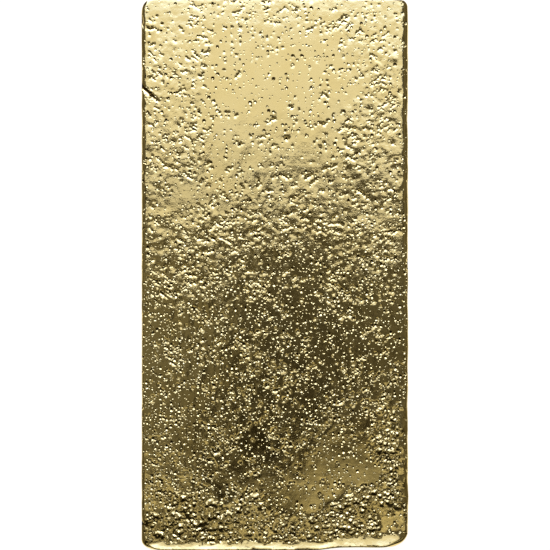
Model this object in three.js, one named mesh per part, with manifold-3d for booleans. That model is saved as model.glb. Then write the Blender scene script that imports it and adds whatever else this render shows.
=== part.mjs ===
// A cast gold bar of about one kilogram, poured into an open mould and turned over to lie on its poured face.
// Millimetres, +Z up, the length along Y. The origin lies on the floor under the middle of the bar.

import * as THREE from "three";
import { mergeVertices } from "three/addons/utils/BufferGeometryUtils.js";
import Module from "manifold-3d";

// The bar at its widest outline, which is the rim of the poured face
const LENGTH = 113;
const WIDTH = 55.15;
const THICKNESS = 8.65; // up to the mould-side face, beside its lip

// Lean of the walls, which let the bar drop out of its mould
const DRAFT_ANGLE = THREE.MathUtils.degToRad(3);

// The liquid metal's own round edge, all round the poured face
const RIM_RADIUS = 1.2;

// The mould-side edges, each a quarter superellipse that reaches across the face and drops down the wall
const RIGHT_EDGE = { across: 2.4, drop: 0.6 };
const FAR_EDGE = { across: 2, drop: 0.65 };
const LEFT_EDGE = { across: 2, drop: 0.5 };
const NEAR_EDGE = { across: 0.15, drop: 0.45 };
const EDGE_POWER = 2.3; // 2 is an ellipse; more is a flatter curve with a tighter bend

// Corners of the walls in plan, each a quarter ellipse with one half-axis across the bar and one along it
const FAR_LEFT_CORNER = { across: 2, along: 2.3 };
const FAR_RIGHT_CORNER = { across: 1.6, along: 1.7 };
const NEAR_LEFT_CORNER = { across: 4, along: 2.1 };
const NEAR_RIGHT_CORNER = { across: 3.9, along: 3.4 };

// The poured face: a flat land inside the rim, then the hollow that the metal sinks to as it shrinks
const LAND_WIDTH = 4.5;
const HOLLOW_SLOPE_WIDTH = 9;
const HOLLOW_DEPTH = 0.4;
const HOLLOW_FLOOR_CORNER = 6; // corner radius of its floor in plan; the slope goes round it evenly

// Waves where the metal fell short of the mould. They grow from nothing on the -X wall to their full
// depth on the +X wall.
const WAVE_DEPTH = 0.16;
const WAVE_LENGTHS = [31, 12.5, 7.3];

// The +X part of the near end, where the metal stopped a little short of the mould
const SHORT_POUR_DEPTH = 0.62;
const SHORT_POUR_FROM = 7.7; // from the bar's middle line towards +X
const SHORT_POUR_OVER = 8;

// The lip that stands up along the near end, and broadens towards +X
const LIP_HEIGHT = 0.34;
const LIP_WIDTH_LEFT = 1.8;
const LIP_WIDTH_RIGHT = 4.2;
const LIP_BROADENS_FROM = 9; // from the bar's middle line towards +X
const LIP_BROADENS_OVER = 11;

// The larger pits of the mould-side face. They keep off its smooth patches, which are ellipses in plan.
const PIT_COUNT = 56;
const PIT_RADIUS = { least: 0.42, greatest: 0.78 };
const PIT_SQUASH = { least: 0.55, greatest: 0.95 }; // its width over its length
const PIT_STEEPNESS = 0.42; // its depth over half its width
const PIT_TURN = 0.8; // radians either way off the X axis
const PIT_MARGIN = 2.6; // from the bar's outline to the middle of a pit
const PIT_SEED = 1907;
const BOWL_FLARE = 0.3; // how high a bowl's own middle lies over the face, as a share of its half-height
const SMOOTH_PATCHES = [
  { x: -2, fromFarEnd: 24, halfAcross: 13, halfAlong: 17 },
  { x: 0, fromFarEnd: 56.5, halfAcross: 4, halfAlong: 4 },
  { x: 15, fromFarEnd: 100, halfAcross: 6, halfAlong: 9.5 },
];

// Two cold folds in the -X edge, each a slot that tapers to both ends
const GASH = { fromWall: 2.2, fromFarEnd: 19.2, halfLength: 2.5, halfWidth: 0.5, depth: 0.5, turn: -0.7 };
const NOTCH = { fromWall: 0.5, fromFarEnd: 107.9, halfLength: 1.3, halfWidth: 0.55, depth: 0.8, turn: -0.4 };

// Fineness of the mesh
const WALL_STEP = 3.2; // spacing of the stations along a straight wall
const CORNER_STEPS = 6;
const ROUND_STEPS = 5;
const HOLLOW_STEPS = 5;
const LIP_STEPS = 6;
const SIDE_SHARE = 0.3; // of a face ring's step at the near end, how much it takes at the other sides
const PIT_FACETING = 2;

const GOLD_COLOR = 0xe0c77f;
const GOLD_ROUGHNESS = 0.28;

const manifold = await Module();
manifold.setup();

const { lerp, clamp, smoothstep, seededRandom } = THREE.MathUtils;

const wallSteps = {
  across: Math.round(WIDTH / WALL_STEP),
  along: Math.round(LENGTH / WALL_STEP),
};

// The corners in anticlockwise order, with the signs of the quarter of the plan that each lies in
const wallCorners = [
  { ...FAR_RIGHT_CORNER, signX: 1, signY: 1 },
  { ...FAR_LEFT_CORNER, signX: -1, signY: 1 },
  { ...NEAR_LEFT_CORNER, signX: -1, signY: -1 },
  { ...NEAR_RIGHT_CORNER, signX: 1, signY: -1 },
];

const evenInset = (inset) => ({ right: inset, far: inset, left: inset, near: inset });

// An outline in plan, anticlockwise from the far right corner, set in from the bar's widest outline.
function planOutline(corners, insets) {
  const outline = new THREE.Shape();
  corners.forEach(({ across, along, signX, signY }, quarter) => {
    const x = signX * (WIDTH / 2 - (signX > 0 ? insets.right : insets.left) - across);
    const y = signY * (LENGTH / 2 - (signY > 0 ? insets.far : insets.near) - along);
    const start = (quarter * Math.PI) / 2;
    outline.absellipse(x, y, across, along, start, start + Math.PI / 2);
  });
  outline.closePath();
  return outline;
}

// Stations round an outline, each with its point and its outward direction. Every outline has as many.
function stationsOf(outline) {
  return outline.curves.flatMap((curve) => {
    const ends = curve.getPoint(1).sub(curve.getPoint(0));
    const steps = curve.isEllipseCurve
      ? CORNER_STEPS
      : Math.abs(ends.y) > Math.abs(ends.x)
        ? wallSteps.along
        : wallSteps.across;
    return Array.from({ length: steps }, (_, step) => {
      const tangent = curve.getTangent(step / steps);
      return {
        point: curve.getPoint(step / steps),
        outward: new THREE.Vector2(tangent.y, -tangent.x),
      };
    });
  });
}

const rimOutline = planOutline(wallCorners, evenInset(0));
const rimStations = stationsOf(rimOutline);
const rimPerimeter = rimOutline.getLength();

// How far the waves leave the outline inside the mould's straight walls at a station of the rim.
function waveDepth({ point }, station) {
  const turn = (2 * Math.PI * station) / rimStations.length;
  const growth = point.x / WIDTH + 1 / 2;
  const waves = WAVE_LENGTHS.map((length, order) =>
    Math.sin(Math.round(rimPerimeter / length) * turn + order),
  );
  const mean = waves.reduce((sum, wave) => sum + wave, 0) / waves.length;
  return (WAVE_DEPTH * growth * (1 + mean)) / 2;
}

// How far the near end falls short of the mould: one smooth step.
function shortPour(x) {
  return SHORT_POUR_DEPTH * smoothstep(x, SHORT_POUR_FROM, SHORT_POUR_FROM + SHORT_POUR_OVER);
}

function fallShort({ point, outward }, station) {
  return waveDepth({ point }, station) + Math.max(0, -outward.y) * shortPour(point.x);
}

// One wall of the bar in section, from the floor to the mould-side face, as insets and heights.
function wallProfile({ across, drop }) {
  const round = (from, to) =>
    Array.from({ length: ROUND_STEPS + 1 }, (_, step) => lerp(from, to, step / ROUND_STEPS));
  const rim = round(-Math.PI / 2, DRAFT_ANGLE).map((angle) => ({
    inset: RIM_RADIUS * (1 - Math.cos(angle)),
    height: RIM_RADIUS * (1 + Math.sin(angle)),
  }));
  const rimTop = rim[rim.length - 1];
  const bend = 2 / EDGE_POWER;
  const edgeAngle = Math.atan(((drop / across) * Math.tan(DRAFT_ANGLE)) ** (1 / (2 - bend)));
  const edgeStart = THICKNESS - drop * (1 - Math.sin(edgeAngle) ** bend);
  const wallInset = rimTop.inset + (edgeStart - rimTop.height) * Math.tan(DRAFT_ANGLE);
  const edge = round(edgeAngle, Math.PI / 2).map((angle) => ({
    inset: wallInset + across * (Math.cos(edgeAngle) ** bend - Math.max(0, Math.cos(angle)) ** bend),
    height: THICKNESS - drop * (1 - Math.sin(angle) ** bend),
  }));
  return [...rim, ...edge];
}

const wallProfiles = {
  right: wallProfile(RIGHT_EDGE),
  far: wallProfile(FAR_EDGE),
  left: wallProfile(LEFT_EDGE),
  near: wallProfile(NEAR_EDGE),
};

const insetsAt = (level) =>
  Object.fromEntries(Object.entries(wallProfiles).map(([side, profile]) => [side, profile[level].inset]));

// Height of a level where the wall faces some way between two sides.
function levelHeight(level, outward) {
  const shares = {
    right: Math.max(0, outward.x) ** 2,
    far: Math.max(0, outward.y) ** 2,
    left: Math.max(0, -outward.x) ** 2,
    near: Math.max(0, -outward.y) ** 2,
  };
  return Object.entries(wallProfiles).reduce(
    (height, [side, profile]) => height + profile[level].height * shares[side],
    0,
  );
}

const topLevel = wallProfiles.near.length - 1;
const nearFaceInset = wallProfiles.near[topLevel].inset;

// How far the lip along the near end lifts the mould-side face.
function lipRise(x, y) {
  const fromEnd = y + LENGTH / 2 - nearFaceInset - shortPour(x);
  const broadening = smoothstep(x, LIP_BROADENS_FROM, LIP_BROADENS_FROM + LIP_BROADENS_OVER);
  const lipReach = clamp(1 - fromEnd / lerp(LIP_WIDTH_LEFT, LIP_WIDTH_RIGHT, broadening), 0, 1);
  return LIP_HEIGHT * lipReach ** 2;
}

// The rings of the hollow in the poured face, from its floor out to the land. The rim's waves don't reach it.
function hollowRings() {
  return Array.from({ length: HOLLOW_STEPS + 1 }, (_, step) => {
    const fromFloor = (HOLLOW_SLOPE_WIDTH * step) / HOLLOW_STEPS;
    const inset = RIM_RADIUS + LAND_WIDTH + HOLLOW_SLOPE_WIDTH - fromFloor;
    const height = (HOLLOW_DEPTH * (1 + Math.cos((Math.PI * step) / HOLLOW_STEPS))) / 2;
    const radius = HOLLOW_FLOOR_CORNER + fromFloor;
    const corners = wallCorners.map((corner) => ({ ...corner, across: radius, along: radius }));
    return stationsOf(planOutline(corners, evenInset(inset))).map(
      ({ point }) => new THREE.Vector3(point.x, point.y, height),
    );
  });
}

// A ring of the walls. Its upper part climbs with the face it carries.
function wallRing(level) {
  return stationsOf(planOutline(wallCorners, insetsAt(level))).map(({ point }, station) => {
    const rim = rimStations[station];
    const short = fallShort(rim, station);
    const x = point.x - rim.outward.x * short;
    const y = point.y - rim.outward.y * short;
    const height = levelHeight(level, rim.outward);
    return new THREE.Vector3(x, y, height + (lipRise(x, y) * height) / THICKNESS);
  });
}

// The rings of the mould-side face, from its edge in over the lip to its flat.
function faceRings() {
  const edge = insetsAt(topLevel);
  const reach = LIP_WIDTH_RIGHT + SHORT_POUR_DEPTH;
  return Array.from({ length: LIP_STEPS }, (_, step) => {
    const inset = (reach * (step + 1)) / LIP_STEPS;
    const sideInset = SIDE_SHARE * inset;
    const insets = {
      right: edge.right + sideInset,
      far: edge.far + sideInset,
      left: edge.left + sideInset,
      near: edge.near + inset,
    };
    return stationsOf(planOutline(wallCorners, insets)).map(
      ({ point }) => new THREE.Vector3(point.x, point.y, THICKNESS + lipRise(point.x, point.y)),
    );
  });
}

// One closed surface over a stack of rings: a flat cap below, the loft between the rings, a flat cap above.
function loft(rings) {
  const count = rings[0].length;
  const capOf = (ring) => THREE.ShapeUtils.triangulateShape(ring, []);
  const lowerCap = capOf(rings[0]).map(([a, b, c]) => [c, b, a]);
  const lastStart = (rings.length - 1) * count;
  const upperCap = capOf(rings[rings.length - 1]).map((face) => face.map((i) => i + lastStart));
  const bands = rings.slice(1).flatMap((_, band) =>
    rings[0].flatMap((_, station) => {
      const next = (station + 1) % count;
      const low = band * count;
      const high = low + count;
      return [
        [low + station, low + next, high + next],
        [low + station, high + next, high + station],
      ];
    }),
  );
  const geometry = new THREE.BufferGeometry().setFromPoints(rings.flat());
  geometry.setIndex([...lowerCap, ...bands, ...upperCap].flat());
  return geometry;
}

function isSmooth({ x, y }) {
  return SMOOTH_PATCHES.some(
    (patch) =>
      Math.hypot((x - patch.x) / patch.halfAcross, (y - LENGTH / 2 + patch.fromFarEnd) / patch.halfAlong) < 1,
  );
}

// Places and half-axes of the larger pits, scattered at random but the same each time.
function largerPits() {
  seededRandom(PIT_SEED);
  const between = (least, greatest) => lerp(least, greatest, seededRandom());
  const pits = [];
  while (pits.length < PIT_COUNT) {
    const place = {
      x: between(PIT_MARGIN - WIDTH / 2, WIDTH / 2 - PIT_MARGIN),
      y: between(PIT_MARGIN - LENGTH / 2, LENGTH / 2 - PIT_MARGIN),
    };
    if (isSmooth(place)) continue;
    const halfLength = between(PIT_RADIUS.least, PIT_RADIUS.greatest);
    const halfWidth = halfLength * between(PIT_SQUASH.least, PIT_SQUASH.greatest);
    const turn = between(-PIT_TURN, PIT_TURN);
    pits.push({ ...place, halfLength, halfWidth, depth: PIT_STEEPNESS * halfWidth, turn });
  }
  return pits;
}

const coldFold = ({ fromWall, fromFarEnd, ...size }) => ({
  x: fromWall - WIDTH / 2,
  y: LENGTH / 2 - fromFarEnd,
  ...size,
});

// What a pit or a fold takes out of the bar: an ellipsoid with its middle over the mould-side face, sized so
// that it leaves a bowl of the given length, width and depth there.
function cutter({ x, y, halfLength, halfWidth, depth, turn }) {
  const halfHeight = depth / (1 - BOWL_FLARE);
  const spread = 1 / Math.sqrt(1 - BOWL_FLARE ** 2);
  return new THREE.OctahedronGeometry(1, PIT_FACETING)
    .scale(halfLength * spread, halfWidth * spread, halfHeight)
    .rotateZ(turn)
    .translate(x, y, THICKNESS + lipRise(x, y) + halfHeight * BOWL_FLARE);
}

function toSolid(geometry) {
  const bare = geometry.clone().deleteAttribute("normal").deleteAttribute("uv");
  const merged = mergeVertices(bare);
  return new manifold.Manifold(
    new manifold.Mesh({
      numProp: 3,
      vertProperties: new Float32Array(merged.getAttribute("position").array),
      triVerts: new Uint32Array(merged.getIndex().array),
    }),
  );
}

function toGeometry(solid) {
  const mesh = solid.getMesh();
  const geometry = new THREE.BufferGeometry();
  geometry.setAttribute("position", new THREE.BufferAttribute(mesh.vertProperties, mesh.numProp));
  geometry.setIndex(new THREE.BufferAttribute(mesh.triVerts, 1));
  geometry.computeVertexNormals();
  return geometry;
}

function ingot() {
  const wallRings = wallProfiles.near.map((_, level) => wallRing(level));
  const casting = toSolid(loft([...hollowRings(), ...wallRings, ...faceRings()]));
  const cuts = [...largerPits(), coldFold(GASH), coldFold(NOTCH)];
  const pitted = cuts.reduce((solid, cut) => solid.subtract(toSolid(cutter(cut))), casting);
  const gold = new THREE.MeshStandardMaterial({
    color: GOLD_COLOR,
    roughness: GOLD_ROUGHNESS,
    metalness: 1,
  });
  const bar = new THREE.Mesh(toGeometry(pitted), gold);
  bar.name = "ingot";
  return bar;
}

const part = new THREE.Group();
part.name = "cast_bar";
part.add(ingot());

export default part;
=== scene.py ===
"""A cast gold bar lying on its poured face, seen from straight above its pitted mould-side face."""

import math

import bpy
import numpy as np
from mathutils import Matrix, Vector
from mathutils.geometry import delaunay_2d_cdt


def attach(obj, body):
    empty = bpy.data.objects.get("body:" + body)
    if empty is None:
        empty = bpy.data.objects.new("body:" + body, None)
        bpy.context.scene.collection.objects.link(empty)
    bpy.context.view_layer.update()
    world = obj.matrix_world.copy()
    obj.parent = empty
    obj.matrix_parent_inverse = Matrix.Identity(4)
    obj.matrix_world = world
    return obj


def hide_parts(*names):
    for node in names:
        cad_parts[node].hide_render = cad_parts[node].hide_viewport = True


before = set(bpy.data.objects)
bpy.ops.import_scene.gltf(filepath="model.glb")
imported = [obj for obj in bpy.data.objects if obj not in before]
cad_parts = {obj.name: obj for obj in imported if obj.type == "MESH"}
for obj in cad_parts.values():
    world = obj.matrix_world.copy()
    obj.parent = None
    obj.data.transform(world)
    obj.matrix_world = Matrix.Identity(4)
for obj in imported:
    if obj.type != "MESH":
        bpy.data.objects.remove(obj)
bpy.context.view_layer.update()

MM = 0.001

# ---------------------------------------------------------------- the bar's measures, in millimetres
# The inside of the mould, whose walls the cast bar stays a little short of
WIDTH, LENGTH, THICKNESS = 55.15, 113.0, 8.65

DRAFT_ANGLE = math.radians(3.0)
RIM_RADIUS = 1.2                      # round edge of the poured face

# Mould-side edges, each nearly a quarter ellipse: how far it reaches across the face, and how deep it drops
RIGHT_EDGE = (1.9, 0.5)
FAR_EDGE = (0.15, 0.15)
LEFT_EDGE = (1.25, 0.42)
NEAR_EDGE = (0.15, 0.45)
EDGE_POWER = 2.3                      # 2 would be a true ellipse; more makes the edge start gently

# Corners of the walls in plan: half-axes across and along the bar, and the quarter each lies in
WALL_CORNERS = (
    (1.6, 1.7, 1, 1),
    (2.0, 2.3, -1, 1),
    (4.0, 2.1, -1, -1),
    (3.9, 3.4, 1, -1),
)

# Waves of the walls, which grow from nothing at the left wall to their full depth at the right one
WAVE_DEPTH = 0.16
WAVE_LENGTHS = (31.0, 12.5, 7.3)
# The right part of the near end falls short of the mould: by how much, from where, and over what width
SHORT_POUR_DEPTH = 0.62
SHORT_POUR_FROM = 7.7
SHORT_POUR_OVER = 8.0

# The poured face: a flat land round a shallow hollow
LAND_WIDTH = 4.5
HOLLOW_SLOPE_WIDTH = 9.0
HOLLOW_DEPTH = 0.4
HOLLOW_RIPPLE = 0.02
HOLLOW_FLOOR_CORNER = 6.0

# ---------------------------------------------------------------- fineness of the mesh
WALL_STEP = 0.5
CORNER_STEPS = 12
RIM_STEPS = 5
WALL_ROWS = 9
EDGE_STEPS = 9
# Rings of points round a pit: how far out, as a share of its radius, and how many points in each
PIT_RINGS = ((0.0, 1), (0.2, 5), (0.92, 9), (1.08, 9))
RING_CELL = 0.12                      # of the points in those rings, one is kept in each cell of this size
FINE_SPACING = 0.33                   # of the grid between them, where the face is rugged or lumpy
ROW_SPACING = 0.866                   # between the grid's rows, as a share of that within a row
FINE_WHERE_RUGGED = 0.6
FINE_WHERE_LUMPY = 0.35
GRID_SHAKE = 0.3                      # as a share of the spacing
GRID_CELL = 0.26                      # the grid leaves out its points in each such cell that a ring is in
BOX_MARGIN = 0.25                     # between the face's points and the box round its outline
FACE_MARGIN = 0.12                    # between its points and the outline itself
POURED_SPACING = 1.3
POURED_MARGIN = 0.8

rng = np.random.default_rng(20)


def smoothstep(start, end, value):
    """0 before the start, 1 past the end, and a smooth rise between them."""
    share = np.clip((value - start) / (end - start), 0.0, 1.0)
    return share * share * (3.0 - 2.0 * share)


def gradient_noise(x, y, seed):
    """Smooth noise over the plane, about -0.7 to 0.7, with features one unit across."""
    lattice = 256
    angles = np.random.default_rng(seed).random((lattice, lattice)) * 2.0 * math.pi
    column = np.floor(x).astype(int)
    row = np.floor(y).astype(int)
    across = x - column
    along = y - row

    def slope_at(step_x, step_y):
        angle = angles[(column + step_x) % lattice, (row + step_y) % lattice]
        return np.cos(angle) * (across - step_x) + np.sin(angle) * (along - step_y)

    ease_x = across ** 3 * (across * (6.0 * across - 15.0) + 10.0)
    ease_y = along ** 3 * (along * (6.0 * along - 15.0) + 10.0)
    low = slope_at(0, 0) * (1.0 - ease_x) + slope_at(1, 0) * ease_x
    high = slope_at(0, 1) * (1.0 - ease_x) + slope_at(1, 1) * ease_x
    return low * (1.0 - ease_y) + high * ease_y


def turned(x, y, angle, scale):
    """Coordinates in a plane that is turned by an angle and measured in units of a scale."""
    across = (x * math.cos(angle) - y * math.sin(angle)) / scale
    along = (x * math.sin(angle) + y * math.cos(angle)) / scale
    return across, along


def fractal_noise(x, y, size, octaves, seed):
    """Layers of smooth noise, each half the size of the last and turned against it."""
    total = np.zeros_like(x)
    for octave in range(octaves):
        across, along = turned(x, y, angle=0.6 + 1.1 * octave, scale=size / 2.0 ** octave)
        total += gradient_noise(across, along, seed + octave) / 2.0 ** octave
    return total


# ---------------------------------------------------------------- outlines and sections
STEPS_ACROSS = round(WIDTH / WALL_STEP)
STEPS_ALONG = round(LENGTH / WALL_STEP)


def plan_outline(corners, insets):
    """Points and outward directions round the bar in plan, anticlockwise from the far right corner.

    The insets are those of the right, far, left and near sides.
    """
    right, far, left, near = insets
    arcs = []
    for quarter, (across, along, sign_x, sign_y) in enumerate(corners):
        centre = (
            sign_x * (WIDTH / 2 - (right if sign_x > 0 else left) - across),
            sign_y * (LENGTH / 2 - (far if sign_y > 0 else near) - along),
        )
        angle = (quarter + np.linspace(0.0, 1.0, CORNER_STEPS + 1)) * math.pi / 2
        points = np.stack((centre[0] + across * np.cos(angle), centre[1] + along * np.sin(angle)), 1)
        outward = np.stack((along * np.cos(angle), across * np.sin(angle)), 1)
        arcs.append((points, outward / np.linalg.norm(outward, axis=1)[:, None]))
    all_points = []
    all_outward = []
    for quarter, (points, outward) in enumerate(arcs):
        next_points = arcs[(quarter + 1) % len(arcs)][0]
        steps = STEPS_ACROSS if quarter % 2 == 0 else STEPS_ALONG
        share = np.linspace(0.0, 1.0, steps, endpoint=False)[:, None]
        wall = points[-1] * (1.0 - share) + next_points[0] * share
        all_points += [points[:-1], wall]
        all_outward += [outward[:-1], np.repeat(outward[-1:], steps, axis=0)]
    return np.concatenate(all_points), np.concatenate(all_outward)


rim_points, rim_outward = plan_outline(WALL_CORNERS, (0.0, 0.0, 0.0, 0.0))
rim_steps = np.linalg.norm(np.roll(rim_points, -1, axis=0) - rim_points, axis=1)
rim_length = rim_steps.sum()
rim_along = np.concatenate(([0.0], np.cumsum(rim_steps)[:-1]))


def fall_short():
    """How far the outline stays inside the mould's straight walls at each station."""
    turn = 2.0 * math.pi * rim_along / rim_length
    waves = [np.sin(round(rim_length / length) * turn + order) for order, length in enumerate(WAVE_LENGTHS)]
    growth = rim_points[:, 0] / WIDTH + 0.5
    depth = WAVE_DEPTH * growth * (1.0 + np.mean(waves, axis=0)) / 2.0
    return depth + np.maximum(0.0, -rim_outward[:, 1]) * short_pour(rim_points[:, 0])


def short_pour(x):
    """How far the near end falls short of the mould, in one smooth step."""
    return SHORT_POUR_DEPTH * smoothstep(SHORT_POUR_FROM, SHORT_POUR_FROM + SHORT_POUR_OVER, x)


def wall_profile(edge_round):
    """Inset, height and tilt of the wall's section, from the floor up to the mould-side face."""
    edge_across, edge_deep = edge_round
    levels = []
    for angle in np.linspace(-math.pi / 2, DRAFT_ANGLE, RIM_STEPS + 1):
        levels.append((RIM_RADIUS * (1 - math.cos(angle)), RIM_RADIUS * (1 + math.sin(angle)), angle))
    bend = 2 / EDGE_POWER
    start_angle = math.atan((edge_deep / edge_across * math.tan(DRAFT_ANGLE)) ** (1 / (2 - bend)))
    edge_start = THICKNESS - edge_deep * (1 - math.sin(start_angle) ** bend)
    rim_inset, rim_top, _ = levels[-1]
    wall_inset = rim_inset + (edge_start - rim_top) * math.tan(DRAFT_ANGLE)
    for row in range(1, WALL_ROWS):
        share = row / WALL_ROWS
        levels.append((
            rim_inset + (wall_inset - rim_inset) * share,
            rim_top + (edge_start - rim_top) * share,
            DRAFT_ANGLE,
        ))
    for angle in np.linspace(start_angle, math.pi / 2, EDGE_STEPS + 1):
        sine = math.sin(angle)
        cosine = max(0.0, math.cos(angle))
        levels.append((
            wall_inset + edge_across * (math.cos(start_angle) ** bend - cosine ** bend),
            THICKNESS - edge_deep * (1 - sine ** bend),
            math.atan2(edge_across * sine ** (2 - bend), edge_deep * cosine ** (2 - bend)),
        ))
    return levels


# ---------------------------------------------------------------- relief of the mould-side face
# Smooth patches of the face: centre, and half-widths across and along the bar
CALM_PATCHES = (
    (0.0, 39.0, 13.0, 8.0),
    (14.0, -37.5, 6.0, 6.0),
    (10.0, -41.0, 6.0, 5.0),
    (6.0, -45.0, 6.0, 4.0),
    (18.0, -40.5, 5.0, 4.0),
    (24.2, -50.6, 3.0, 3.4),
)
# A patch that is smooth between many small pits: the same
PINHOLED_PATCH = (-4.0, -39.0, 11.0, 9.0)
# Rugged patches: the same, and how rugged each is
RUGGED_PATCHES = (
    (-21.5, 32.0, 8.5, 20.0, 0.9),
    (-20.0, 49.0, 9.0, 8.0, 0.65),
    (-17.4, 3.1, 12.0, 13.0, 1.0),
    (21.5, 29.0, 8.0, 22.0, 1.0),
    (20.0, 49.0, 8.0, 8.0, 0.7),
    (18.6, 5.1, 9.0, 9.0, 1.0),
    (4.0, 52.5, 24.0, 4.5, 0.6),
    (2.0, 11.0, 13.0, 9.0, 0.8),
    (23.3, -40.0, 4.5, 9.0, 1.0),
    (-15.0, -50.0, 14.0, 6.5, 0.9),
    (16.0, -49.5, 13.0, 6.5, 1.0),
    (0.0, -53.0, 9.0, 2.5, 0.6),
    (-24.0, -42.0, 5.0, 10.0, 0.7),
)
# How rugged the face is between them: places along the bar, and the ruggedness there
PLAIN_FROM = (-5.0, 22.0)
PLAIN_RUGGEDNESS = (0.5, 0.34)
# How much of the ruggedness the smooth patches and the patch of small pits take away
CALM_SMOOTHING = 0.95
PINHOLED_SMOOTHING = 0.85
# Patches where the face stands in coarse lumps: centre, half-widths, and how lumpy each is
LUMPY_PATCHES = (
    (-15.0, -50.5, 14.0, 6.0, 1.0),
    (16.0, -50.0, 13.0, 6.0, 1.0),
    (0.0, -53.0, 9.0, 2.8, 0.7),
    (24.5, -43.0, 5.5, 9.0, 0.9),
    (23.0, -33.0, 5.0, 9.0, 0.7),
)
PATCH_FADE = (0.6, 1.2)               # a patch fades out between these shares of its half-widths

# Heights of the slow waves, and of the rolling ones: on the smooth face, and added where it is rugged
SLOW_HEIGHT = 0.014
ROLLING_HEIGHTS = (0.006, 0.02)
# Heights of the folds between flat-topped hills, of the fine lumps, and of the coarse ones
FOLD_HEIGHT = 0.045
FINE_LUMP_HEIGHTS = (0.003, 0.016)    # on the smooth face, and added where it is rugged
COARSE_LUMP_HEIGHT = 0.1
# The coarse lumps lie aslant: cosine and sine of their turn, and how long and how broad they are drawn
LUMP_SLANT = (0.82, 0.57)
LUMP_STRETCH = (1.7, 0.9)

# The face rolls off gently towards its far edge: from how far, and how deep
FAR_ROLL = 3.0
FAR_DROP = 0.01

# The lip that stands up along the near end: its height and width, to the left and to the right
LIP_HEIGHTS = (0.34, 0.45)
LIP_WIDTHS = (1.8, 2.9)
LIP_BROADENS = (9.0, 17.0)            # where it changes from the one to the other
LIP_WANDER = 0.8                      # how far its width wanders
LIP_POWER = 1.3                       # 1 is an even slope, 2 starts gently
# By what share of the lip's reach the pinholes, the pits and the folds have faded out
PINHOLES_LEAVE_LIP = 0.25
PITS_LEAVE_LIP = 0.35
FOLDS_LEAVE_LIP = 0.6

CREASE_POWER = 0.65                   # 1 gives round hills, less gives flatter ones with steeper creases
FACE_DROP = 0.1                       # from the mould's own plane down to the middle of the waves
SHADED_PIT_DEPTH = 0.15                    # deeper pits get painted shade up to their rims
PIT_SHADE_SHIFT = 0.1                      # the painted shade lies thicker on the far side of each pit, whose wall faces away from the softbox, by this much
PIT_ROUNDNESS = 1.25                  # 1 is a cone, 2 a round bowl
PIT_RAGGEDNESS = 0.55
PLACE_MARGIN = 1.5                    # of the scattered pits from the outline, both sides together
GRAIN_END_MARGIN = 1.0                # of the grains from the near end

# Density of the pinholes: on the far part and on the near part, and where it changes along the bar
PINHOLE_DENSITIES = (0.46, 1.0)
PINHOLES_THICKEN = (20.0, -5.0)
PINHOLES_WANDER = 8.0
# How much fewer they are in the smooth patches, among the coarse lumps and on the walls
CALM_THINNING = 0.15
LUMPY_THINNING = 0.8
WALL_THINNING = 0.85

# Long folds at the bar's left edge: both ends, half-width and depth
GASHES = (
    ((-27.2, 38.4), (-24.0, 35.5), 0.5, 0.26),
    ((-27.4, -50.7), (-26.0, -51.1), 0.5, 0.4),
    ((-27.2, 52.3), (-26.8, 50.4), 0.3, 0.25),
)

# Laps and dimples of the walls, and how far both lie inside the mould's own walls
LAP_HEIGHT = 0.09
DIMPLE_HEIGHT = 0.05
WALL_DROP = 0.07
# The walls' relief gives way to the face's between these tilts of the skin
FACE_TILTS = (math.radians(20), math.radians(75))
PITS_REACH_DOWN = 0.8                 # how far under the face its edges still show pits
# The walls' finish and tarnish start and are full this far under the face
WALL_LOOK_FROM = 0.4
WALL_LOOK_FULL = 1.2


def patch_share(x, y, patch, wander):
    """1 inside an elliptical patch with a ragged outline, falling to 0 outside it."""
    centre_x, centre_y, half_across, half_along = patch[:4]
    reach = np.hypot((x - centre_x) / half_across, (y - centre_y) / half_along) + wander
    return 1.0 - smoothstep(*PATCH_FADE, reach)


def calm(x, y):
    """1 in the smooth patches of the face, and 0 in the pitted rest."""
    wander = 0.45 * fractal_noise(x, y, size=8.0, octaves=3, seed=31)
    return np.max([patch_share(x, y, patch, wander) for patch in CALM_PATCHES], axis=0)


def rugged(x, y):
    """0 where the face is smooth, up to 1 in its most rugged patches."""
    wander = 0.5 * fractal_noise(x, y, size=9.0, octaves=3, seed=37)
    patches = [patch[4] * patch_share(x, y, patch, wander) for patch in RUGGED_PATCHES]
    plain = np.interp(y, PLAIN_FROM, PLAIN_RUGGEDNESS)
    total = np.maximum(plain, np.max(patches, axis=0))
    among_pinholes = patch_share(x, y, PINHOLED_PATCH, wander)
    return total * (1.0 - CALM_SMOOTHING * calm(x, y)) * (1.0 - PINHOLED_SMOOTHING * among_pinholes)


def lumpy(x, y):
    """How coarsely lumpy the face is, up to 1."""
    wander = 0.6 * fractal_noise(x, y, size=7.0, octaves=3, seed=61)
    lumps = np.max([patch[4] * patch_share(x, y, patch, wander) for patch in LUMPY_PATCHES], axis=0)
    return lumps * (1.0 - calm(x, y))


def pinholed(x, y):
    """How densely the face is strewn with pinholes, up to 1."""
    far, near = PINHOLE_DENSITIES
    wander = PINHOLES_WANDER * fractal_noise(x, y, size=9.0, octaves=2, seed=67)
    density = far + (near - far) * smoothstep(*PINHOLES_THICKEN, y + wander)
    density = np.maximum(density, patch_share(x, y, PINHOLED_PATCH, wander=0.0))
    thinning = (1.0 - CALM_THINNING * calm(x, y)) * (1.0 - LUMPY_THINNING * lumpy(x, y))
    return density * thinning * before_lip(x, y, PINHOLES_LEAVE_LIP)


def lip_reach(x, y):
    """0 where the lip along the near end starts, and 1 at the end. The lip varies in width."""
    end = -LENGTH / 2 + wall_profile(NEAR_EDGE)[-1][0] + short_pour(x)
    wander = LIP_WANDER * gradient_noise(x / 4.0, x * 0.0, seed=79)
    width = np.interp(x, LIP_BROADENS, LIP_WIDTHS) + wander
    return np.clip(1.0 - (y - end) / width, 0.0, 1.1)


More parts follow.
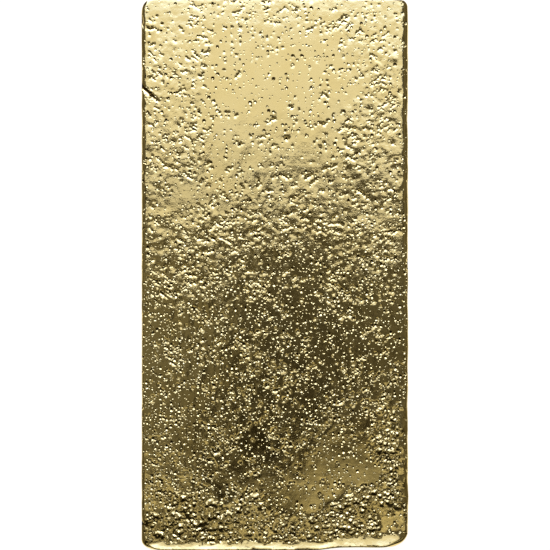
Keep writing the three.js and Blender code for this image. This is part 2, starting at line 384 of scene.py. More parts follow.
def lip_rise(x, y):
    """How far the lip stands over the face."""
    return np.interp(x, LIP_BROADENS, LIP_HEIGHTS) * lip_reach(x, y) ** LIP_POWER


def before_lip(x, y, gone_at):
    """1 on the face, falling to 0 at a share of the lip's reach."""
    return 1.0 - smoothstep(0.0, gone_at, lip_reach(x, y))


def pick_places(count, clump_size, clump_bias):
    """Random places on the face, thicker in clumps and thin in the calm patches."""
    tries = 4 * count
    x = (rng.random(tries) - 0.5) * (WIDTH - PLACE_MARGIN)
    y = (rng.random(tries) - 0.5) * (LENGTH - PLACE_MARGIN)
    clump = fractal_noise(x, y, size=clump_size, octaves=2, seed=57)
    among_pinholes = patch_share(x, y, PINHOLED_PATCH, wander=0.0)
    wanted = 0.06 + 0.94 * rugged(x, y) + 0.25 * among_pinholes
    kept = rng.random(tries) < (0.5 + clump_bias * clump) * wanted
    return np.stack((x[kept], y[kept]), 1)[:count]


# Every pit is a row of its place, its long and short half-axes, its turn and its depth
def grains(count, low_radius, high_radius):
    """Blunt grains that stand up from the coarsely lumpy patches, as pits of negative depth."""
    tries = 12 * count
    x = (rng.random(tries) - 0.5) * (WIDTH - PLACE_MARGIN)
    y = -rng.random(tries) * (LENGTH / 2 - GRAIN_END_MARGIN)
    kept = rng.random(tries) < lumpy(x, y)
    x, y = x[kept][:count], y[kept][:count]
    total = len(x)
    radius = low_radius + (high_radius - low_radius) * rng.random(total) ** 1.5
    squash = 0.65 + 0.3 * rng.random(total)
    turn = rng.normal(0.5, 0.6, total)
    height = radius * squash * (0.17 + 0.2 * rng.random(total)) * (0.4 + 0.6 * lumpy(x, y))
    return np.column_stack((x, y, radius, radius * squash, turn, -height))


def single_pits(count, low_radius, high_radius, clump_size, clump_bias):
    """Scattered pits, smaller in the calm patches."""
    places = pick_places(count, clump_size, clump_bias)
    total = len(places)
    radius = low_radius + (high_radius - low_radius) * rng.random(total) ** 2
    radius *= 1.0 - 0.4 * calm(places[:, 0], places[:, 1])
    squash = 0.55 + 0.45 * rng.random(total)
    turn = rng.normal(0.0, 0.7, total)
    depth = radius * squash * (0.28 + 0.14 * rng.random(total))
    return np.column_stack((places, radius, radius * squash, turn, depth))


def pit_chains(count, low_radius, high_radius, longest):
    """Zigzag rows of overlapping pits, which read as short folds."""
    step_share = 1.2                  # from pit to pit, as a share of the pit's long half-axis
    squash = 0.65
    turn_back = 0.3                   # how often a row changes its side
    chains = []
    for start in pick_places(count, clump_size=7.0, clump_bias=1.6):
        side = 1.0 if rng.random() < smoothstep(-30.0, 25.0, start[0]) else -1.0
        radius = low_radius + (high_radius - low_radius) * rng.random() ** 1.5
        place = start.copy()
        for _ in range(rng.integers(2, longest)):
            size = radius * (0.7 + 0.5 * rng.random())
            heading = side * rng.uniform(0.25, 0.95)
            depth = size * (0.2 + 0.08 * rng.random())
            chains.append((*place, size, size * squash, heading, depth))
            place = place + size * step_share * np.array((math.cos(heading), math.sin(heading)))
            if rng.random() < turn_back:
                side = -side
    return np.array(chains)


def gash_pits():
    """Each gash as a close row of deep pits that shrink towards its inner end."""
    step_share = 0.6                  # from pit to pit, as a share of the gash's half-width
    stretch = 1.5
    rows = []
    for start, end, half_width, depth in GASHES:
        span = np.array(end) - start
        heading = math.atan2(span[1], span[0])
        steps = math.ceil(np.linalg.norm(span) / (half_width * step_share))
        for share in np.linspace(0.0, 1.0, steps + 1):
            x, y = start + span * share
            shrinking = 1.0 - 0.5 * share
            size = half_width * shrinking
            rows.append((x, y, size * stretch, size, heading, depth * shrinking))
    return np.array(rows)


pits = np.concatenate((
    gash_pits(),
    pit_chains(count=640, low_radius=0.22, high_radius=0.4, longest=6),
    single_pits(count=1600, low_radius=0.16, high_radius=0.34, clump_size=6.0, clump_bias=1.2),
    grains(count=900, low_radius=0.24, high_radius=0.68),
))


def raggedness(x, y):
    """How much nearer than a plain ellipse a pit's edge lies, as a factor."""
    return 1.0 + PIT_RAGGEDNESS * fractal_noise(x, y, size=0.5, octaves=2, seed=41)


def cell_groups(points, cell):
    """The points' numbers, grouped by the square cell that each point lies in."""
    keys = np.floor(points / cell).astype(int)
    order = np.lexsort((keys[:, 1], keys[:, 0]))
    breaks = np.flatnonzero(np.any(np.diff(keys[order], axis=0), axis=1)) + 1
    return {tuple(keys[group[0]]): group for group in np.split(order, breaks)}


def groups_near(groups, cell, x, y, reach):
    """The groups of all cells that a square round a place touches."""
    columns = range(math.floor((x - reach) / cell), math.floor((x + reach) / cell) + 1)
    rows = range(math.floor((y - reach) / cell), math.floor((y + reach) / cell) + 1)
    return [groups[column, row] for column in columns for row in rows if (column, row) in groups]


def pit_depths(points):
    """Depth of the pits at each point of the face, and how far inside a pit it lies, 1 being its middle."""
    cell = 0.8
    farthest = 1.5                    # where a ragged pit can reach to, as a share of its long half-axis
    groups = cell_groups(points, cell)
    total = np.zeros(len(points))
    core = np.zeros(len(points))
    ragged = raggedness(points[:, 0], points[:, 1])
    for x, y, long_axis, short_axis, turn, depth in pits:
        found = groups_near(groups, cell, x, y, long_axis * farthest)
        if not found:
            continue
        near = np.concatenate(found)
        away = points[near] - (x, y)
        along = away[:, 0] * math.cos(turn) + away[:, 1] * math.sin(turn)
        across = away[:, 1] * math.cos(turn) - away[:, 0] * math.sin(turn)
        ratio = np.hypot(along / long_axis, across / short_axis) * ragged[near]
        bowl = np.clip(1.0 - ratio ** PIT_ROUNDNESS, 0.0, 1.0)
        total[near] += (depth * bowl) ** 3
        if depth > 0.0:
            # the painted shade reaches nearer the rim in deep pits
            core[near] = np.maximum(core[near], bowl if depth < SHADED_PIT_DEPTH else np.sqrt(bowl))
    return np.cbrt(total), core


def billows(x, y, size, octaves, seed):
    """Flat-topped hills with sharp creases between them, 0 to about 1.5."""
    total = np.zeros_like(x)
    for octave in range(octaves):
        across, along = turned(x, y, angle=0.9 + 1.3 * octave, scale=size / 2.0 ** octave)
        hills = (2.0 * np.abs(gradient_noise(across, along, seed + octave))) ** CREASE_POWER
        total += hills / 2.0 ** octave
    return total


def swell(x, y):
    """The slow waves, folds and lumps of the face, its lip and its far roll-off."""
    rough = rugged(x, y)
    coarse = lumpy(x, y)
    slow = SLOW_HEIGHT * fractal_noise(x, y * 1.3, size=12.0, octaves=2, seed=71)
    rolling_height = ROLLING_HEIGHTS[0] + ROLLING_HEIGHTS[1] * rough
    rolling = rolling_height * fractal_noise(x * 1.4, y, size=3.6, octaves=2, seed=73)
    folds = FOLD_HEIGHT * rough ** 1.5 * billows(x * 1.2, y, size=3.0, octaves=2, seed=83)
    fine_height = FINE_LUMP_HEIGHTS[0] + FINE_LUMP_HEIGHTS[1] * rough * (1.0 - coarse)
    lumps = fine_height * fractal_noise(x * 1.4, y, size=1.3, octaves=1, seed=97)
    cosine, sine = LUMP_SLANT
    slant_x = (x * cosine + y * sine) / LUMP_STRETCH[0]
    slant_y = (y * cosine - x * sine) / LUMP_STRETCH[1]
    lumps += COARSE_LUMP_HEIGHT * coarse * fractal_noise(slant_x, slant_y, size=3.0, octaves=3, seed=101)
    roll_off = FAR_DROP * np.clip(1.0 - (LENGTH / 2 - y) / FAR_ROLL, 0.0, 1.0) ** 2
    return slow + rolling + (folds + lumps) * before_lip(x, y, FOLDS_LEAVE_LIP) + lip_rise(x, y) - roll_off


def face_relief(points):
    """Height of the face over its flat plane."""
    x, y = points.T
    depth, _ = pit_depths(points)
    return swell(x, y) - FACE_DROP - depth * before_lip(x, y, PITS_LEAVE_LIP)


def wall_relief(along, height):
    """Laps and dimples that the walls keep from the rising metal, in and out of the plain wall."""
    bend = 0.6 * gradient_noise(along / 9.0, height, seed=109)
    laps = LAP_HEIGHT * fractal_noise(along / 7.0, height / 1.6 + bend, size=1.0, octaves=3, seed=111)
    dimples = DIMPLE_HEIGHT * fractal_noise(along, height * 1.4, size=1.6, octaves=2, seed=131)
    return laps + dimples - WALL_DROP


def hollow_height(points):
    """Height of the poured face over the floor: a flat land, then a shallow hollow."""
    floor_x = WIDTH / 2 - RIM_RADIUS - LAND_WIDTH - HOLLOW_SLOPE_WIDTH - HOLLOW_FLOOR_CORNER
    floor_y = LENGTH / 2 - RIM_RADIUS - LAND_WIDTH - HOLLOW_SLOPE_WIDTH - HOLLOW_FLOOR_CORNER
    away = np.maximum(np.abs(points) - (floor_x, floor_y), 0.0)
    reach = np.clip((np.linalg.norm(away, axis=1) - HOLLOW_FLOOR_CORNER) / HOLLOW_SLOPE_WIDTH, 0.0, 1.0)
    ripple = HOLLOW_RIPPLE * fractal_noise(points[:, 0], points[:, 1], size=7.0, octaves=2, seed=151)
    return (HOLLOW_DEPTH + ripple) * (1.0 + np.cos(math.pi * reach)) / 2.0


# ---------------------------------------------------------------- the bar's skin
def wall_rings():
    """The loft of the walls: one ring of points for each level of the section."""
    profiles = np.array([wall_profile(edge) for edge in (RIGHT_EDGE, FAR_EDGE, LEFT_EDGE, NEAR_EDGE)])
    facing = np.stack((
        np.maximum(0.0, rim_outward[:, 0]),
        np.maximum(0.0, rim_outward[:, 1]),
        np.maximum(0.0, -rim_outward[:, 0]),
        np.maximum(0.0, -rim_outward[:, 1]),
    )) ** 2
    short = fall_short()[:, None]
    rings = []
    levels = profiles.shape[1]
    for level in range(levels):
        inset, side_height, side_tilt = profiles[:, level].T
        points, _ = plan_outline(WALL_CORNERS, inset)
        points = points - rim_outward * short
        height = side_height @ facing
        tilt = side_tilt @ facing
        face_share = smoothstep(*FACE_TILTS, tilt)
        floor_share = smoothstep(0.0, RIM_RADIUS * 2, height)
        shift = face_relief(points)
        if level < levels - 1:
            shift = shift * face_share + wall_relief(rim_along, height) * (1 - face_share) * floor_share
        flat = np.cos(tilt) * shift
        rings.append(np.column_stack((
            points + rim_outward * flat[:, None],
            height + np.sin(tilt) * shift,
        )))
    return rings


def pit_points():
    """Rings of points round each pit, which follow its ragged edge."""
    layers = []
    for ratio, spokes in PIT_RINGS:
        angle = np.linspace(0.0, 2.0 * math.pi, spokes, endpoint=False) + ratio
        cos_turn = np.cos(pits[:, 4])[:, None]
        sin_turn = np.sin(pits[:, 4])[:, None]
        along = pits[:, 2:3] * ratio * np.cos(angle)
        across = pits[:, 3:4] * ratio * np.sin(angle)
        away_x = along * cos_turn - across * sin_turn
        away_y = along * sin_turn + across * cos_turn
        nearer = raggedness(pits[:, 0:1] + away_x, pits[:, 1:2] + away_y)
        x = pits[:, 0:1] + away_x / nearer
        y = pits[:, 1:2] + away_y / nearer
        layers.append(np.stack((x.ravel(), y.ravel()), 1))
    return thin(np.concatenate(layers), RING_CELL)


def grid_points():
    """A grid over the face, with only every fourth point where it is smooth, each shaken a little."""
    columns = np.arange(-WIDTH / 2, WIDTH / 2, FINE_SPACING)
    rows = np.arange(-LENGTH / 2, LENGTH / 2, FINE_SPACING * ROW_SPACING)
    grid_x, grid_y = np.meshgrid(columns, rows)
    column, row = np.meshgrid(np.arange(len(columns)), np.arange(len(rows)))
    grid_x = grid_x + FINE_SPACING / 2 * (row % 2)
    coarse = (row % 2 == 0) & ((column + row // 2) % 2 == 0)
    fine = (rugged(grid_x, grid_y) > FINE_WHERE_RUGGED) | (lumpy(grid_x, grid_y) > FINE_WHERE_LUMPY)
    kept = coarse | fine
    grid = np.stack((grid_x[kept], grid_y[kept]), 1)
    return grid + (rng.random(grid.shape) - 0.5) * FINE_SPACING * GRID_SHAKE


def face_points(boundary):
    """Points that carry the face's relief: rings round each pit, and a grid between them."""
    ringed = pit_points()
    grid = grid_points()
    taken = {tuple(key) for key in np.floor(ringed / GRID_CELL).astype(int)}
    free = [tuple(key) not in taken for key in np.floor(grid / GRID_CELL).astype(int)]
    points = np.concatenate((ringed, grid[free]))
    low = boundary.min(axis=0) + BOX_MARGIN
    high = boundary.max(axis=0) - BOX_MARGIN
    return points[np.all((points > low) & (points < high), axis=1)]


def thin(points, cell):
    """Keeps the first point of each small cell."""
    cells_in_a_row = 100003           # more than there are
    keys = np.floor(points / cell).astype(np.int64)
    _, first = np.unique(keys[:, 0] * cells_in_a_row + keys[:, 1], return_index=True)
    return points[np.sort(first)]


def inner_points(boundary, points, margin):
    """The points that lie inside a closed outline by a margin, found from its own nearest station."""
    block_size = 4000
    kept = []
    for block in np.array_split(points, max(1, len(points) // block_size)):
        away = block[:, None, :] - boundary[None, :, :]
        nearest = np.argmin((away ** 2).sum(axis=2), axis=1)
        offset = away[np.arange(len(block)), nearest]
        outward = (offset * rim_outward[nearest]).sum(axis=1)
        kept.append(block[outward < -margin])
    return np.concatenate(kept)


def cap(boundary, inner):
    """Triangles over a closed outline and the points inside it, numbered in that order."""
    triangulate_inside = 1
    tolerance = 1e-7
    count = len(boundary)
    points = np.concatenate((boundary, inner))
    edges = [(i, (i + 1) % count) for i in range(count)]
    verts, _, faces, origins, _, _ = delaunay_2d_cdt(
        [Vector(point) for point in points.tolist()], edges, [], triangulate_inside, tolerance)
    if len(verts) != len(points):
        raise ValueError(f"the outline crosses itself: {len(points)} points became {len(verts)}")
    source = [origin[0] for origin in origins]
    return [[source[i] for i in face] for face in faces]


def renumbered(triangles, count, boundary_start, inner_start):
    """A cap's triangles with the mesh's own numbers for its outline and for the points inside it."""
    return [[i + (boundary_start if i < count else inner_start - count) for i in face] for face in triangles]


def wall_faces(count, levels):
    """Quads between each ring of the walls and the next."""
    station = np.arange(count)
    following = (station + 1) % count
    bands = []
    for level in range(levels - 1):
        low = level * count
        high = low + count
        bands.append(np.column_stack((low + station, low + following, high + following, high + station)))
    return np.concatenate(bands).tolist()


def poured_grid():
    """A shaken grid over the poured face."""
    columns = np.arange(-WIDTH / 2, WIDTH / 2, POURED_SPACING)
    rows = np.arange(-LENGTH / 2, LENGTH / 2, POURED_SPACING)
    grid_x, grid_y = np.meshgrid(columns, rows)
    grid = np.stack((grid_x.ravel(), grid_y.ravel()), 1)
    return grid + (rng.random(grid.shape) - 0.5) * POURED_SPACING * GRID_SHAKE


def closed_skin():
    """Places in millimetres and faces of the whole bar: the walls, the mould-side face, the poured face."""
    rings = wall_rings()
    count = len(rings[0])
    walls = np.concatenate(rings)
    faces = wall_faces(count, len(rings))

    boundary = rings[-1][:, :2]
    inner = inner_points(boundary, face_points(boundary), FACE_MARGIN)
    mould_side = np.column_stack((inner, THICKNESS + face_relief(inner)))
    top_start = len(walls) - count
    faces += renumbered(cap(boundary, inner), count, top_start, len(walls))

    boundary = rings[0][:, :2]
    inner = inner_points(boundary, poured_grid(), POURED_MARGIN)
    poured = np.column_stack((inner, hollow_height(inner)))
    facing_down = [face[::-1] for face in cap(boundary, inner)]
    faces += renumbered(facing_down, count, 0, len(walls) + len(mould_side))
    return np.concatenate((walls, mould_side, poured)), faces


def store(mesh, name, values):
    """Keeps a number for each point of the mesh, for the material to read."""
    layer = mesh.attributes.new(name, "FLOAT", "POINT")
    layer.data.foreach_set("value", values.astype(np.float32))


def build_ingot():
    """The whole bar as one piece, with the numbers that its material reads."""
    places, faces = closed_skin()
    mesh = bpy.data.meshes.new("ingot_cast")
    mesh.from_pydata((places * MM).tolist(), [], faces)
    mesh.shade_smooth()
    mesh.update()
    x, y, z = places.T
    core = np.zeros(len(places))
    upper = z > THICKNESS - PITS_REACH_DOWN
    # Painted shade: how far inside a pit each point lies, taken from a place moved toward the near end, so
    # the shade sits on each pit's far side
    core[upper] = pit_depths(places[upper, :2] - (0.0, PIT_SHADE_SHIFT))[1]
    on_wall = smoothstep(THICKNESS - WALL_LOOK_FROM, THICKNESS - WALL_LOOK_FULL, z)
    store(mesh, "pit_core", core)
    store(mesh, "ruggedness", rugged(x, y))
    store(mesh, "pinholed", pinholed(x, y) * (1.0 - WALL_THINNING * on_wall))
    store(mesh, "wall_share", on_wall)
    piece = bpy.data.objects.new("ingot_cast", mesh)
    bpy.context.scene.collection.objects.link(piece)
    return piece


# ---------------------------------------------------------------- materials
GOLD_DEEP = (0.90, 0.68, 0.25, 1.0)
GOLD_PALE = (0.94, 0.735, 0.30, 1.0)
# The dark gold of the painted shade in the pits, which also tarnishes the walls
GOLD_SHADE_AND_TARNISH = (0.09, 0.047, 0.009, 1.0)
PIT_SHADE_FROM = 0.45                      # how far inside a pit the painted shade starts, 1 being its middle
PIT_SHADE_STEEPNESS = 4.0
FACE_ROUGHNESS = (0.05, 0.1)
WALL_ROUGHNESS = (0.2, 0.42)
WALL_TARNISH = (-0.15, 0.55)

# Pinholes: spacing and usual radius of the wide and of the narrow ones, in millimetres
WIDE_PINHOLES = (0.95, 0.32)
NARROW_PINHOLES = (0.6, 0.19)
NARROW_SHARE = 0.85                   # density of the narrow ones over that of the wide ones
LEAST_RADIUS = 0.4                    # as a share of the usual one; the largest is wider by a whole one
BOWL_DEPTH = 0.33                     # a pinhole's depth over its radius
PINHOLE_FADE = 12.0                   # how steeply a pinhole appears as the density passes its own chance
STIR = 0.3                            # how far the stirred places wander
SKIN_HEIGHTS = (0.004, 0.036)         # grain of the skin: on the smooth face, and added where it is rugged

FLOOR_GREY = (0.3, 0.3, 0.3, 1.0)
FLOOR_GLOW = 0.93
FLOOR_GAP = 0.00003                   # under the bar, in metres


class Shading:
    """The cleared node tree of a material or a world, with short ways to add nodes to it."""

    def __init__(self, owner):
        owner.use_nodes = True
        self.tree = owner.node_tree
        self.tree.nodes.clear()

    def add(self, kind, inputs, **settings):
        """Adds a node and gives its outputs. Each input is a number, a colour or another node's output."""
        node = self.tree.nodes.new(kind)
        for name, value in settings.items():
            setattr(node, name, value)
        for name, value in inputs.items():
            if isinstance(value, bpy.types.NodeSocket):
                self.tree.links.new(value, node.inputs[name])
            else:
                node.inputs[name].default_value = value
        return node.outputs

    def calculate(self, operation, *values, clamp=False):
        inputs = dict(enumerate(values))
        return self.add("ShaderNodeMath", inputs, operation=operation, use_clamp=clamp)["Value"]

    def calculate_vector(self, operation, *values):
        return self.add("ShaderNodeVectorMath", dict(enumerate(values)), operation=operation)["Vector"]

    def coordinates(self, kind):
        return self.add("ShaderNodeTexCoord", {})[kind]

    def attribute(self, name):
        return self.add("ShaderNodeAttribute", {}, attribute_name=name)["Fac"]

    def noise(self, place, scale, detail, roughness=0.5, output="Fac"):
        inputs = {"Vector": place, "Scale": scale, "Detail": detail, "Roughness": roughness}
        return self.add("ShaderNodeTexNoise", inputs)[output]

    def map_range(self, value, from_range, to_range=(0.0, 1.0), kind="LINEAR"):
        inputs = {
            "Value": value,
            "From Min": from_range[0],
            "From Max": from_range[1],
            "To Min": to_range[0],
            "To Max": to_range[1],
        }
        return self.add("ShaderNodeMapRange", inputs, interpolation_type=kind)["Result"]

    def spread(self, noise, low, high):
        """A noise, which stays mostly between 0.3 and 0.7, spread between two values."""
        return self.map_range(noise, (0.3, 0.7), (low, high))

    def mix_colours(self, factor, first, second):
        inputs = {"Factor": factor, "A": first, "B": second}
        return self.add("ShaderNodeMix", inputs, data_type="RGBA")["Result"]

    def mix_numbers(self, factor, first, second):
        return self.add("ShaderNodeMix", {"Factor": factor, "A": first, "B": second})["Result"]

    def two_tones(self, value, low_stop, high_stop):
        """A colour between two stops, each a position and a colour."""
        node = self.tree.nodes.new("ShaderNodeValToRGB")
        for element, (position, colour) in zip(node.color_ramp.elements, (low_stop, high_stop)):
            element.position = position
            element.color = colour
        self.tree.links.new(value, node.inputs["Fac"])
        return node.outputs["Color"]


def pinholes(shading, sizes, chance, place):
    """Bowls scattered about a place's coordinates, each of its own radius, where their chance is high.

    Gives their depth in millimetres, and how far inside a bowl a point is, 1 being its middle.
    """
    spacing, radius = sizes
    cells = shading.add("ShaderNodeTexVoronoi", {"Vector": place, "Scale": 1.0 / (spacing * MM)})
    own = shading.add("ShaderNodeSeparateColor", {"Color": cells["Color"]})
    usual = radius / spacing
    own_radius = shading.calculate("MULTIPLY_ADD", own["Red"], usual, LEAST_RADIUS * usual)
    ratio = shading.calculate("DIVIDE", cells["Distance"], own_radius)
    bowl = shading.calculate("SUBTRACT", 1.0, shading.calculate("POWER", ratio, PIT_ROUNDNESS), clamp=True)
    margin = shading.calculate("SUBTRACT", chance, own["Green"])
    there = shading.calculate("MULTIPLY", margin, PINHOLE_FADE, clamp=True)
    own_depth = shading.calculate("MULTIPLY", own_radius, spacing * BOWL_DEPTH)
    core = shading.calculate("MULTIPLY", bowl, there)
    return shading.calculate("MULTIPLY", core, own_depth), core


def all_pinholes(shading, place):
    """Depth of the wide and the narrow pinholes together, and how far inside one a point is."""
    density = shading.attribute("pinholed")
    fewer = shading.calculate("MULTIPLY", density, NARROW_SHARE)
    wide, wide_core = pinholes(shading, WIDE_PINHOLES, density, place)
    narrow, narrow_core = pinholes(shading, NARROW_PINHOLES, fewer, place)
    return shading.calculate("ADD", wide, narrow), shading.calculate("MAXIMUM", wide_core, narrow_core)


def fine_relief(shading, place, depth):
    """The normal of a relief too fine for the mesh: the grain of the skin, less the pinholes' depth."""
    plain, added = SKIN_HEIGHTS
    skin = shading.noise(place, scale=900.0, detail=3.0, roughness=0.6)
    skin_height = shading.calculate("MULTIPLY_ADD", shading.attribute("ruggedness"), added, plain)
    skin_relief = shading.calculate("MULTIPLY", skin, skin_height)
    height = shading.calculate("SUBTRACT", skin_relief, depth)
    return shading.add("ShaderNodeBump", {"Distance": MM, "Height": height})["Normal"]


def gold_colour(shading, place, core):
    """Two close golds, with painted shade in the middle of the pits and pinholes, and tarnish on the walls.
    """
    clouds = shading.noise(place, scale=180.0, detail=4.0)
    tone = shading.two_tones(clouds, (0.3, GOLD_DEEP), (0.7, GOLD_PALE))
    cloudy = shading.spread(shading.noise(place, scale=170.0, detail=5.0, roughness=0.6), *WALL_TARNISH)
    tarnish = shading.calculate("MULTIPLY", shading.attribute("wall_share"), cloudy, clamp=True)
    # painted shade darkens the middle of the pits and pinholes
    deepest = shading.calculate("MAXIMUM", shading.attribute("pit_core"), core)
    inside = shading.calculate("SUBTRACT", deepest, PIT_SHADE_FROM)
    shade_in_pits = shading.calculate("MULTIPLY", inside, PIT_SHADE_STEEPNESS, clamp=True)
    return shading.mix_colours(shading.calculate("MAXIMUM", shade_in_pits, tarnish), tone, GOLD_SHADE_AND_TARNISH)


def gold_roughness(shading, place):
    """Bright on the mould-side face, matt on the walls."""
    bright = shading.spread(shading.noise(place, scale=400.0, detail=3.0), *FACE_ROUGHNESS)
    matt = shading.spread(shading.noise(place, scale=260.0, detail=4.0), *WALL_ROUGHNESS)
    return shading.mix_numbers(shading.attribute("wall_share"), bright, matt)


def gold_material():
    material = bpy.data.materials.new("cast_gold")
    shading = Shading(material)
    place = shading.coordinates("Object")
    # places are stirred a little, so that no pinhole is a true circle
    stirring = shading.noise(place, scale=2600.0, detail=1.0, output="Color")
    stirred = shading.calculate_vector("MULTIPLY_ADD", stirring, (STIR * MM,) * 3, place)
    # painted shade is measured from places moved toward the near end, so that it sits on each pinhole's far
    # side, away from the softbox
    shaded_place = shading.calculate_vector("SUBTRACT", stirred, (0.0, PIT_SHADE_SHIFT * MM, 0.0))
    depth, _ = all_pinholes(shading, stirred)
    _, core = all_pinholes(shading, shaded_place)
    surface = shading.add("ShaderNodeBsdfPrincipled", {
        "Metallic": 1.0,
        "Normal": fine_relief(shading, place, depth),
        "Base Color": gold_colour(shading, place, core),
        "Roughness": gold_roughness(shading, place),
    })
    shading.add("ShaderNodeOutputMaterial", {"Surface": surface["BSDF"]})
    return material


def floor_material():
    """A matt floor that glows white for the camera and in reflections, and keeps its shadows."""
    material = bpy.data.materials.new("studio_floor")
    shading = Shading(material)
    rays = shading.add("ShaderNodeLightPath", {})
    seen = shading.calculate("MAXIMUM", rays["Is Camera Ray"], rays["Is Glossy Ray"])
    any_seen = shading.calculate("MAXIMUM", seen, rays["Is Transmission Ray"])
    strength = shading.calculate("MULTIPLY", any_seen, FLOOR_GLOW)
    matt = shading.add("ShaderNodeBsdfDiffuse", {"Color": FLOOR_GREY})
    glow = shading.add("ShaderNodeEmission", {"Strength": strength})
    surface = shading.add("ShaderNodeAddShader", {0: matt["BSDF"], 1: glow["Emission"]})
    shading.add("ShaderNodeOutputMaterial", {"Surface": surface["Shader"]})
    return material


# ---------------------------------------------------------------- studio, in metres
def build_floor():
    bpy.ops.mesh.primitive_plane_add(size=30.0, location=(0.0, 0.0, -FLOOR_GAP))
    floor = bpy.context.object
    floor.name = "studio_floor"
    floor.data.materials.append(floor_material())


DAYLIGHT = (0.96, 1.01, 1.18)
COLD_DAYLIGHT = (0.9, 1.05, 1.6)
LAMPLIGHT = (1.0, 0.965, 0.81)
PLAIN_LIGHT = (1.0, 1.0, 1.0)
CEILING = 0.9                         # height of the overhead lamps

# The softbox hangs over the bar's far half. Its near edge is uneven: both ends across the bar, then its start
SOFTBOX_EDGE = (
    (-0.24, -0.065, 0.044),
    (-0.065, -0.03, 0.026),
    (-0.03, -0.01, 0.036),
    (-0.01, 0.028, 0.058),
    (0.028, 0.048, 0.042),
    (0.048, 0.22, 0.038),
)
SOFTBOX_EDGE_BRIGHTNESS = 0.75
# Beyond that edge it is built of strips: where each starts along the bar, both its ends across the bar,
# how bright it is, and its colour
SOFTBOX_STRIPS = (
    (0.08, (-0.24, 0.22), 0.85, DAYLIGHT),
    (0.105, (-0.24, 0.22), 0.88, DAYLIGHT),
    (0.13, (-0.24, 0.22), 0.92, DAYLIGHT),
    (0.16, (-0.24, 0.22), 1.1, COLD_DAYLIGHT),
    (0.2, (-0.3, 0.3), 1.5, COLD_DAYLIGHT),
    (0.25, (-0.36, 0.36), 2.1, COLD_DAYLIGHT),
    (0.32, (-0.36, 0.36), 2.7, COLD_DAYLIGHT),
    (0.42, (-0.36, 0.36), 3.3, COLD_DAYLIGHT),
    (0.62, (-0.36, 0.36), 3.3, COLD_DAYLIGHT),
    (0.78, (-0.36, 0.36), 3.3, COLD_DAYLIGHT),
    (0.92, (-0.36, 0.36), 2.7, DAYLIGHT),
)
SOFTBOX_END = 1.05
# Weaker overhead lamps: both ends across and along the bar, then brightness
CARDS = (
    ("side_left", (-0.6, -0.3), (0.01, 0.3), 0.08),
    ("side_right", (0.27, 0.6), (0.02, 0.3), 0.08),
    ("near_far_1", (-0.3, 0.3), (-0.21, -0.17), 0.32),
    ("near_far_2", (-0.3, 0.3), (-0.26, -0.21), 0.08),
    ("near_far_3", (-0.3, 0.3), (-0.5, -0.26), 0.012),
)
# Rows of weak overhead lamps that change in brightness from each to the next: both ends across the bar,
# start and end along it, then the brightness at the start and at the end
RAMPS = (
    ("room_left", (-0.6, -0.03), (0.01, -0.1), (0.15, 0.11)),
    ("room_middle", (-0.03, 0.045), (0.03, -0.092), (0.065, 0.01)),
    ("room_right", (0.045, 0.6), (0.02, -0.1), (0.1, 0.055)),
    ("near_left", (-0.4, -0.045), (-0.1, -0.17), (0.1, 0.75)),
    ("near_middle", (-0.045, 0.015), (-0.115, -0.17), (0.02, 0.75)),
    ("near_patch", (0.015, 0.06), (-0.095, -0.17), (0.1, 1.0)),
    ("near_right", (0.06, 0.4), (-0.1, -0.17), (0.09, 0.85)),
)
RAMP_STEPS = 8
RAMP_POWER = 1.25                     # 1 changes evenly, more changes late

# A tall panel beyond the far end: width and height, place, and brightness
BACK_PANEL_SIZE = (3.2, 0.7)
BACK_PANEL_PLACE = (0.0, 1.4, 0.66)
BACK_PANEL_BRIGHTNESS = 0.75

# The studio's walls and ceiling. Each range runs over one part of the direction to them: the sideways
# part, 0 to 1, or the upward part, 1 being straight up
CEILING_TONE = (0.006, 0.0045, 0.0018, 1.0)
SIDE_TONE = (0.1, 0.088, 0.056, 1.0)
SIDES_FROM_TO = (0.3, 0.65)
ZENITH_TONE = (0.012, 0.0095, 0.005, 1.0)
ZENITH_FROM_TO = (0.955, 0.985)
HORIZON_TONE = (1.0, 1.0, 1.0, 1.0)
HORIZON_FROM_TO = (0.42, 0.12)

CAMERA_HEIGHT = 0.5
CAMERA_SPAN = 113.9 * MM              # what the picture's width shows at the floor


def area_light(name, size, location, target, radiance, colour):
    """A rectangular lamp whose face shows the given brightness."""
    data = bpy.data.lights.new(name, "AREA")
    data.shape = "RECTANGLE"
    data.color = colour
    data.size, data.size_y = size
    data.energy = radiance * math.pi * size[0] * size[1]
    lamp = bpy.data.objects.new(name, data)
    lamp.location = location
    direction = Vector(target) - Vector(location)
    lamp.rotation_euler = direction.to_track_quat("-Z", "Y").to_euler()
    bpy.context.scene.collection.objects.link(lamp)


def overhead_light(name, across, along, radiance, colour):
    """A lamp in the ceiling that faces straight down, between the given ends across and along the bar."""
    middle = (sum(across) / 2, sum(along) / 2)
    size = (across[1] - across[0], along[1] - along[0])
    area_light(name, size, (*middle, CEILING), (*middle, 0.0), radiance, colour)


def build_softbox():
    first_strip = SOFTBOX_STRIPS[0][0]
    for number, (left, right, start) in enumerate(SOFTBOX_EDGE):
        name = f"softbox_edge_{number}"
        overhead_light(name, (left, right), (start, first_strip), SOFTBOX_EDGE_BRIGHTNESS, DAYLIGHT)
    ends = [strip[0] for strip in SOFTBOX_STRIPS[1:]] + [SOFTBOX_END]
    for number, ((start, across, radiance, colour), end) in enumerate(zip(SOFTBOX_STRIPS, ends)):
        overhead_light(f"softbox_{number}", across, (start, end), radiance, colour)


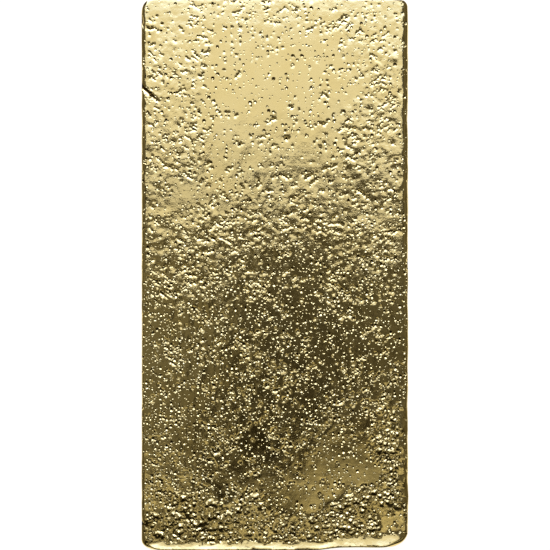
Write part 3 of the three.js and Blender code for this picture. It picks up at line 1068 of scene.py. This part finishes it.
def build_ramp(name, across, along, brightness):
    starts = np.linspace(*along, RAMP_STEPS + 1).tolist()
    share = np.linspace(0.0, 1.0, RAMP_STEPS) ** RAMP_POWER
    steps = (brightness[0] + (brightness[1] - brightness[0]) * share).tolist()
    for number, radiance in enumerate(steps):
        step_along = (starts[number + 1], starts[number])
        overhead_light(f"{name}_{number}", across, step_along, radiance, LAMPLIGHT)


def build_lights():
    build_softbox()
    for name, across, along, radiance in CARDS:
        overhead_light(name, across, along, radiance, LAMPLIGHT)
    for ramp in RAMPS:
        build_ramp(*ramp)
    middle = (0.0, 0.0, 0.0)
    area_light("back_panel", BACK_PANEL_SIZE, BACK_PANEL_PLACE, middle, BACK_PANEL_BRIGHTNESS, PLAIN_LIGHT)


def build_world():
    """Dim overhead, a little lighter to both sides, and white at the horizon, like a studio's walls."""
    world = bpy.data.worlds.new("studio")
    bpy.context.scene.world = world
    shading = Shading(world)
    direction = shading.add("ShaderNodeSeparateXYZ", {"Vector": shading.coordinates("Generated")})
    upward = direction["Z"]
    sideways = shading.calculate("ABSOLUTE", direction["X"])
    dim = shading.two_tones(sideways, (SIDES_FROM_TO[0], CEILING_TONE), (SIDES_FROM_TO[1], SIDE_TONE))
    zenith = shading.map_range(upward, ZENITH_FROM_TO, kind="SMOOTHSTEP")
    horizon = shading.map_range(upward, HORIZON_FROM_TO, kind="SMOOTHSTEP")
    overhead = shading.mix_colours(zenith, dim, ZENITH_TONE)
    colour = shading.mix_colours(horizon, overhead, HORIZON_TONE)
    background = shading.add("ShaderNodeBackground", {"Color": colour})
    shading.add("ShaderNodeOutputWorld", {"Surface": background["Background"]})


def build_camera():
    """Straight above the bar, far enough off to see its walls only as thin bands."""
    data = bpy.data.cameras.new("camera")
    data.sensor_fit = "HORIZONTAL"
    data.lens = data.sensor_width * CAMERA_HEIGHT / CAMERA_SPAN
    data.clip_start = 0.05
    data.clip_end = 50.0
    camera = bpy.data.objects.new("camera", data)
    camera.location = (0.0, 0.0, CAMERA_HEIGHT)
    bpy.context.scene.collection.objects.link(camera)
    bpy.context.scene.camera = camera


ingot = build_ingot()
ingot.data.materials.append(gold_material())
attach(ingot, "root")
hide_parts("ingot")
build_floor()
build_lights()
build_world()
build_camera()

scene = bpy.context.scene
scene.view_settings.view_transform = "Standard"
